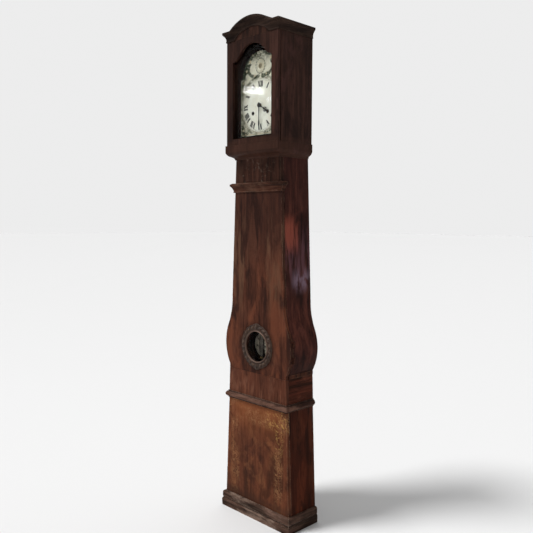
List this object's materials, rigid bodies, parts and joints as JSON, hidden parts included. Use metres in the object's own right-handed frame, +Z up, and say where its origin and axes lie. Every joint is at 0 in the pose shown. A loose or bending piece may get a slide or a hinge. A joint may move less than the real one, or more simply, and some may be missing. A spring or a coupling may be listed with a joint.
{
  "type": "longcase clock",
  "caption": "Violin-shaped longcase clock with an arched painted dial, glazed head door, oculus for the pendulum, two weights and a bell.",
  "frame": {"origin": "on the floor, under the middle of the clock's bounding box", "axes": "+Z up, +X to the right of someone facing the dial, +Y to the back; the dial faces -Y"},
  "size_m": [0.442, 0.23, 2.241],
  "materials": {
    "case_wood": "stained and worn softwood, satin",
    "head_wood": "dark stained softwood, satin",
    "moulding_wood": "worn painted softwood, satin",
    "inner_wood": "bare softwood, matt",
    "bezel_brass": "embossed sheet brass, patinated",
    "clear_glass": "clear glass",
    "dark_glass": "old clear glass",
    "dial_paint": "painted sheet iron, satin",
    "iron": "wrought iron, dark",
    "steel": "ground steel",
    "brass": "cast brass",
    "bell_metal": "cast bell metal",
    "hand_metal": "blued steel",
    "cast_iron": "cast iron, rough",
    "rope": "twisted gut line",
    "bob_brass": "polished sheet brass"
  },
  "bodies": {
    "case": {"base_front": "case_wood", "base_sides": "case_wood", "base_floor": "inner_wood", "plinth_moulding": "moulding_wood", "waist_moulding": "moulding_wood", "lower_front": "case_wood", "lower_sides": "case_wood", "belly_rails": "case_wood", "trunk_side_left": "case_wood", "trunk_side_right": "case_wood", "neck_front": "case_wood", "back_boards": "inner_wood", "head_floor": "inner_wood", "head_side_left": "head_wood", "head_side_right": "head_wood", "head_roof": "inner_wood", "cornice": "head_wood", "head_base_moulding": "head_wood", "seat_rails": "inner_wood", "trunk_hinge_fixed_leaves": "iron", "head_door_pivots": "steel", "dial_plate": "dial_paint", "dial_posts": "iron", "movement_plates": "iron", "movement_frame": "iron", "bell": "bell_metal", "bell_stand": "iron", "suspension_cock": "iron"},
    "head_door": {"head_door_frame": "head_wood", "head_door_glass": "clear_glass"},
    "trunk_door": {"trunk_door_panel": "case_wood", "trunk_door_cornice": "moulding_wood", "oculus_bezel": "bezel_brass", "oculus_glass": "dark_glass", "trunk_hinge_door_leaves": "iron", "trunk_door_stud": "steel"},
    "door_hook": {"trunk_hook": "iron"},
    "centre": {"centre_wheel": "brass", "minute_hand": "hand_metal"},
    "hour": {"hour_wheel": "brass", "hour_hand": "hand_metal"},
    "motion": {"minute_wheel": "brass"},
    "going_great": {"going_great_wheel": "brass"},
    "third": {"third_wheel": "brass"},
    "escape": {"escape_wheel": "brass"},
    "anchor": {"anchor": "steel"},
    "pendulum": {"pendulum_rod": "iron", "pendulum_bob": "bob_brass", "rating_nut": "brass"},
    "going_drum": {"going_barrel": "brass"},
    "going_load": {"going_weight": "cast_iron", "going_rope": "rope"},
    "strike_great": {"strike_great_wheel": "brass"},
    "strike_second": {"strike_second_wheel": "brass"},
    "fly": {"strike_fly": "steel"},
    "strike_drum": {"strike_barrel": "brass"},
    "strike_load": {"strike_weight": "cast_iron", "strike_rope": "rope"},
    "hammer": {"hammer": "iron"}
  },
  "joints": [
    {"name": "head_door_swing", "type": "hinge", "parent": "case", "child": "head_door", "pos_m": [0.1525, -0.0905, 1.9], "axis": [0, 0, 1], "range_deg": [0, 100]},
    {"name": "trunk_door_swing", "type": "hinge", "parent": "case", "child": "trunk_door", "pos_m": [0.2132, -0.0434, 0.797], "axis": [0, 0, 1], "range_deg": [0, 110]},
    {"name": "door_hook_turn", "type": "hinge", "parent": "case", "child": "door_hook", "pos_m": [-0.15, -0.0298, 1.3], "axis": [-1, 0, 0], "range_deg": [0, 90]},
    {"name": "minute_hand_turn", "type": "hinge", "parent": "case", "child": "centre", "pos_m": [0, 0, 1.869], "axis": [0, 1, 0], "continuous": true},
    {"name": "hour_hand_turn", "type": "hinge", "parent": "case", "child": "hour", "pos_m": [0, 0, 1.869], "axis": [0, 1, 0], "continuous": true},
    {"name": "minute_wheel_turn", "type": "hinge", "parent": "case", "child": "motion", "pos_m": [0, 0, 1.845], "axis": [0, 1, 0], "continuous": true},
    {"name": "going_great_wheel_turn", "type": "hinge", "parent": "case", "child": "going_great", "pos_m": [0.046, 0, 1.838], "axis": [0, 1, 0], "continuous": true},
    {"name": "third_wheel_turn", "type": "hinge", "parent": "case", "child": "third", "pos_m": [0, 0, 1.903], "axis": [0, 1, 0], "continuous": true},
    {"name": "escape_wheel_turn", "type": "hinge", "parent": "case", "child": "escape", "pos_m": [0, 0, 1.9365], "axis": [0, 1, 0], "continuous": true},
    {"name": "pendulum_swing", "type": "hinge", "parent": "case", "child": "pendulum", "pos_m": [0, -0.028, 1.97], "axis": [0, 1, 0], "range_deg": [-2.5, 2.5]},
    {"name": "anchor_rock", "type": "hinge", "parent": "case", "child": "anchor", "pos_m": [0, 0, 1.97], "axis": [0, 1, 0], "range_deg": [-2.5, 2.5]},
    {"name": "going_weight_slide", "type": "slide", "parent": "case", "child": "going_load", "axis": [0, 0, 1], "range_m": [0, 1.2], "deforming": ["going_rope"]},
    {"name": "going_barrel_turn", "type": "hinge", "parent": "case", "child": "going_drum", "pos_m": [0.046, 0, 1.838], "axis": [0, 1, 0], "range_deg": [-2899, 10]},
    {"name": "strike_great_wheel_turn", "type": "hinge", "parent": "case", "child": "strike_great", "pos_m": [-0.046, 0, 1.838], "axis": [0, 1, 0], "continuous": true},
    {"name": "strike_second_wheel_turn", "type": "hinge", "parent": "case", "child": "strike_second", "pos_m": [-0.046, 0, 1.89347], "axis": [0, 1, 0], "continuous": true},
    {"name": "fly_turn", "type": "hinge", "parent": "case", "child": "fly", "pos_m": [-0.046, 0, 1.92747], "axis": [0, 1, 0], "continuous": true},
    {"name": "strike_weight_slide", "type": "slide", "parent": "case", "child": "strike_load", "axis": [0, 0, 1], "range_m": [0, 1.2], "deforming": ["strike_rope"]},
    {"name": "strike_barrel_turn", "type": "hinge", "parent": "case", "child": "strike_drum", "pos_m": [-0.046, 0, 1.838], "axis": [0, 1, 0], "range_deg": [-10, 2899]},
    {"name": "hammer_lift", "type": "hinge", "parent": "case", "child": "hammer", "pos_m": [-0.092, 0, 1.905], "axis": [0, -1, 0], "range_deg": [0, 12]}
  ],
  "couplings": [
    {"joint": "hour_hand_turn", "follows": "minute_hand_turn", "ratio": 0.083333},
    {"joint": "minute_wheel_turn", "follows": "minute_hand_turn", "ratio": -0.33333},
    {"joint": "going_great_wheel_turn", "follows": "minute_hand_turn", "ratio": -0.11111},
    {"joint": "third_wheel_turn", "follows": "minute_hand_turn", "ratio": -7.5},
    {"joint": "escape_wheel_turn", "follows": "minute_hand_turn", "ratio": 55.312},
    {"joint": "anchor_rock", "follows": "pendulum_swing", "ratio": 1},
    {"joint": "going_barrel_turn", "follows": "going_weight_slide", "rad_per_m": -42.017},
    {"joint": "strike_second_wheel_turn", "follows": "strike_great_wheel_turn", "ratio": -9},
    {"joint": "fly_turn", "follows": "strike_great_wheel_turn", "ratio": 67.5},
    {"joint": "strike_barrel_turn", "follows": "strike_weight_slide", "rad_per_m": 42.017}
  ]
}
